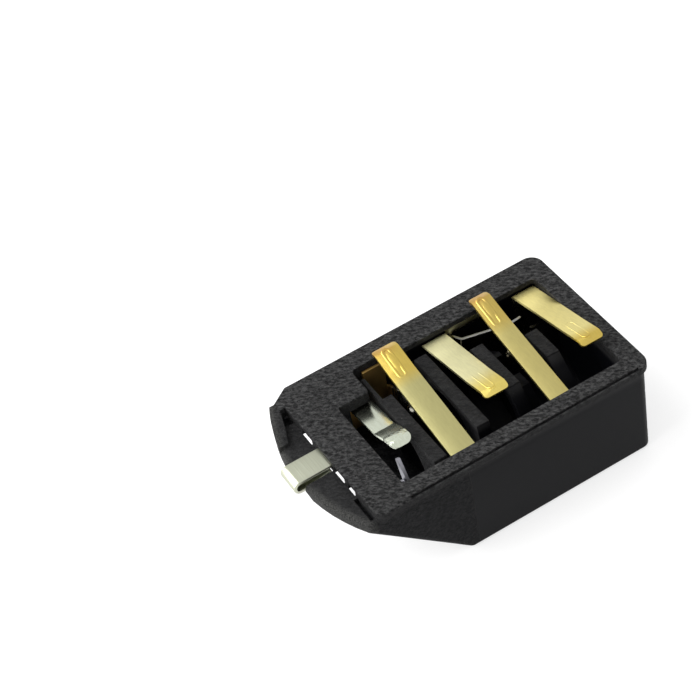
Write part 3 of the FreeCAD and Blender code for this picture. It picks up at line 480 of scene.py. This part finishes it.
def oval_tree():
    """A ridge along a stadium outline, turned and set down on a sloping tip."""
    tree = bpy.data.node_groups.new("pressed oval", "GeometryNodeTree")
    tree.interface.new_socket("Geometry", in_out="OUTPUT", socket_type="NodeSocketGeometry")
    tree.interface.new_socket("Geometry", in_out="INPUT", socket_type="NodeSocketGeometry")
    for name, kind in (
        ("Place", "NodeSocketVector"), ("Turn", "NodeSocketVector"), ("Length", "NodeSocketFloat"),
        ("Width", "NodeSocketFloat"), ("Ridge", "NodeSocketFloat"), ("Finish", "NodeSocketMaterial"),
    ):
        tree.interface.new_socket(name, in_out="INPUT", socket_type=kind)

    def node(kind, settings=None, *values, **named):
        return add_node(tree, kind, settings, *values, **named).outputs

    given = node("NodeGroupInput")
    outline = node(
        "GeometryNodeCurvePrimitiveQuadrilateral", {"mode": "RECTANGLE"},
        Width=given["Width"], Height=given["Length"],
    )
    end_radius = node("ShaderNodeMath", {"operation": "MULTIPLY"}, given["Width"], OVAL_END)
    rounded = node(
        "GeometryNodeFilletCurve", {"mode": "POLY"}, Curve=outline[0], Count=7, Radius=end_radius[0],
    )
    section = node(
        "GeometryNodeCurvePrimitiveCircle", {"mode": "RADIUS"}, Resolution=10, Radius=given["Ridge"],
    )
    ridge = node("GeometryNodeCurveToMesh", {}, Curve=rounded[0], Profile_Curve=section[0])
    flat = node("GeometryNodeTransform", {}, Geometry=ridge[0], Scale=(1.0, 1.0, OVAL_FLATNESS))
    point = node("GeometryNodePoints", {}, Count=1, Position=given["Place"])
    placed = node(
        "GeometryNodeInstanceOnPoints", {}, Points=point[0], Instance=flat[0], Rotation=given["Turn"],
    )
    real = node("GeometryNodeRealizeInstances", {}, Geometry=placed[0])
    smooth = node("GeometryNodeSetShadeSmooth", {}, Geometry=real[0])
    painted = node("GeometryNodeSetMaterial", {}, Geometry=smooth[0], Material=given["Finish"])
    node("NodeGroupOutput", {}, painted[0])
    return tree


def tip_directions(side):
    """The slope of an arm's tip, and the directions out of it and along it."""
    slope = math.atan(TIP_LIFT)
    outward = Vector((0, -side * math.sin(slope), math.cos(slope)))
    along = Vector((0, side * math.cos(slope), math.sin(slope)))
    return slope, outward, along


def flatten_bead(piece, middle, side, pressed):
    """Press the bead in an arm's tip down by this share of its rise."""
    outward = tip_directions(side)[1]
    for vertex in piece.data.vertices:
        offset = vertex.co / MM - Vector(middle)
        rise = offset.dot(outward) - HALF_METAL
        on_bead = abs(offset.x) < BEAD_HALF_WIDTH and abs(offset.y) < BEAD_HALF_LENGTH
        if rise > LEAST_RISE and on_bead:
            vertex.co -= outward * rise * pressed * MM


def press_oval(tree, name, middle, side, ridge, material):
    """The ridge round the bead in an arm's tip; middle is the bead's middle on the strip."""
    slope, outward, along = tip_directions(side)
    place = Vector(middle) + outward * HALF_METAL - along * OVAL_SHIFT - Vector((OVAL_ASIDE, 0, 0))
    values = {
        "Place": place * MM, "Turn": (side * slope, 0.0, 0.0), "Length": OVAL_LENGTH * MM,
        "Width": OVAL_WIDTH * MM, "Ridge": ridge * MM, "Finish": material,
    }
    piece = add_object(name, bpy.data.meshes.new(name))
    modifier = piece.modifiers.new("oval", "NODES")
    modifier.node_group = tree
    for socket in tree.interface.items_tree:
        if socket.in_out == "INPUT" and socket.name in values:
            modifier[socket.identifier] = values[socket.name]
    apply_modifiers(piece)
    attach(piece, "root")


def make_floor():
    """A pale floor that looks white to the camera and in reflections, and keeps a soft shadow."""
    finish = Finish("floor")
    seen = finish.node("ShaderNodeLightPath").outputs
    shown = Field(finish, seen["Is Camera Ray"]) + Field(finish, seen["Is Glossy Ray"])
    paint = finish.node("ShaderNodeBsdfDiffuse", {}, Color=FLOOR_GREY)
    glow = finish.node("ShaderNodeEmission", {}, Color=colour(1, 1, 1), Strength=shown * FLOOR_GLOW)
    both = finish.node("ShaderNodeAddShader", {}, paint.outputs[0], glow.outputs[0])
    finish.node("ShaderNodeOutputMaterial", {}, Surface=both.outputs[0])
    bpy.ops.mesh.primitive_plane_add(size=FLOOR_SIZE, location=(0, 0, -FLOOR_DROP * MM))
    floor = bpy.context.object
    floor.name = "floor"
    floor.data.materials.append(finish.material)
    return floor


def make_lamp(name, place, aim, size, watts):
    lamp = bpy.data.lights.new(name, "AREA")
    lamp.shape = "DISK"
    lamp.size = size * MM
    lamp.energy = watts
    holder = add_object(name, lamp)
    holder.location = Vector(place) * MM
    holder.rotation_euler = (Vector(aim) - Vector(place)).to_track_quat("-Z", "Y").to_euler()
    return holder


def make_world():
    """An even white studio, a little brighter where the camera sees it."""
    world = bpy.data.worlds.new("studio")
    bpy.context.scene.world = world
    world.use_nodes = True
    tree = world.node_tree
    seen = add_node(tree, "ShaderNodeLightPath").outputs["Is Camera Ray"]
    strength = add_node(tree, "ShaderNodeMapRange", {}, seen, To_Min=STUDIO_LIGHT, To_Max=1.0)
    backdrop = tree.nodes["Background"]
    fill_socket(tree, backdrop.inputs["Color"], colour(1, 1, 1))
    fill_socket(tree, backdrop.inputs["Strength"], strength.outputs["Result"])


def make_camera():
    """The photograph's camera."""
    azimuth = math.radians(CAMERA_AZIMUTH)
    elevation = math.radians(CAMERA_ELEVATION)
    roll = math.radians(CAMERA_ROLL)
    forward = Vector((
        math.cos(elevation) * math.sin(azimuth),
        math.cos(elevation) * math.cos(azimuth),
        -math.sin(elevation),
    ))
    level = forward.cross(Vector((0, 0, 1))).normalized()
    upright = level.cross(forward)
    right = level * math.cos(roll) - upright * math.sin(roll)
    up = right.cross(forward)
    camera = add_object("camera", bpy.data.cameras.new("camera"))
    camera.data.lens = CAMERA_LENS
    camera.data.sensor_width = SENSOR_WIDTH
    camera.data.clip_start = MM
    place = (Vector(CAMERA_AIM) - forward * CAMERA_DISTANCE) * MM
    turn = Matrix((right, up, -forward)).transposed().to_4x4()
    camera.matrix_world = Matrix.Translation(place) @ turn
    bpy.context.scene.camera = camera


plastic = black_plastic()
dress("housing", PLASTIC_BEVEL, plastic)
for web in WEBS:
    make_web(*web, plastic)

clip_metal = strip_metal("clip metal", CLIP_NICKEL, CLIP_NICKEL, brushed=3.0)
dress("ground_clip", STRIP_BEVEL, clip_metal)
short_arm_metal = strip_metal(
    "short arm metal", ARM_NICKEL, ARM_NICKEL, satin=0.18, tarnish=2.6, dimpled=14.0,
)
dress("ring_2_contact", STRIP_BEVEL, short_arm_metal)

tree = oval_tree()
for contact, bead, side, (ridge, pressed), look in ARMS:
    metal = strip_metal(side=side, **look)
    arm = dress(contact, STRIP_BEVEL, metal)
    flatten_bead(arm, bead, side, pressed)
    press_oval(tree, f"{contact}_oval", bead, side, ridge, metal)

floor = make_floor()
key = make_lamp("key", KEY_PLACE, KEY_AIM, KEY_SIZE, KEY_WATTS)
make_world()
make_camera()
bpy.context.scene.view_settings.view_transform = "Standard"
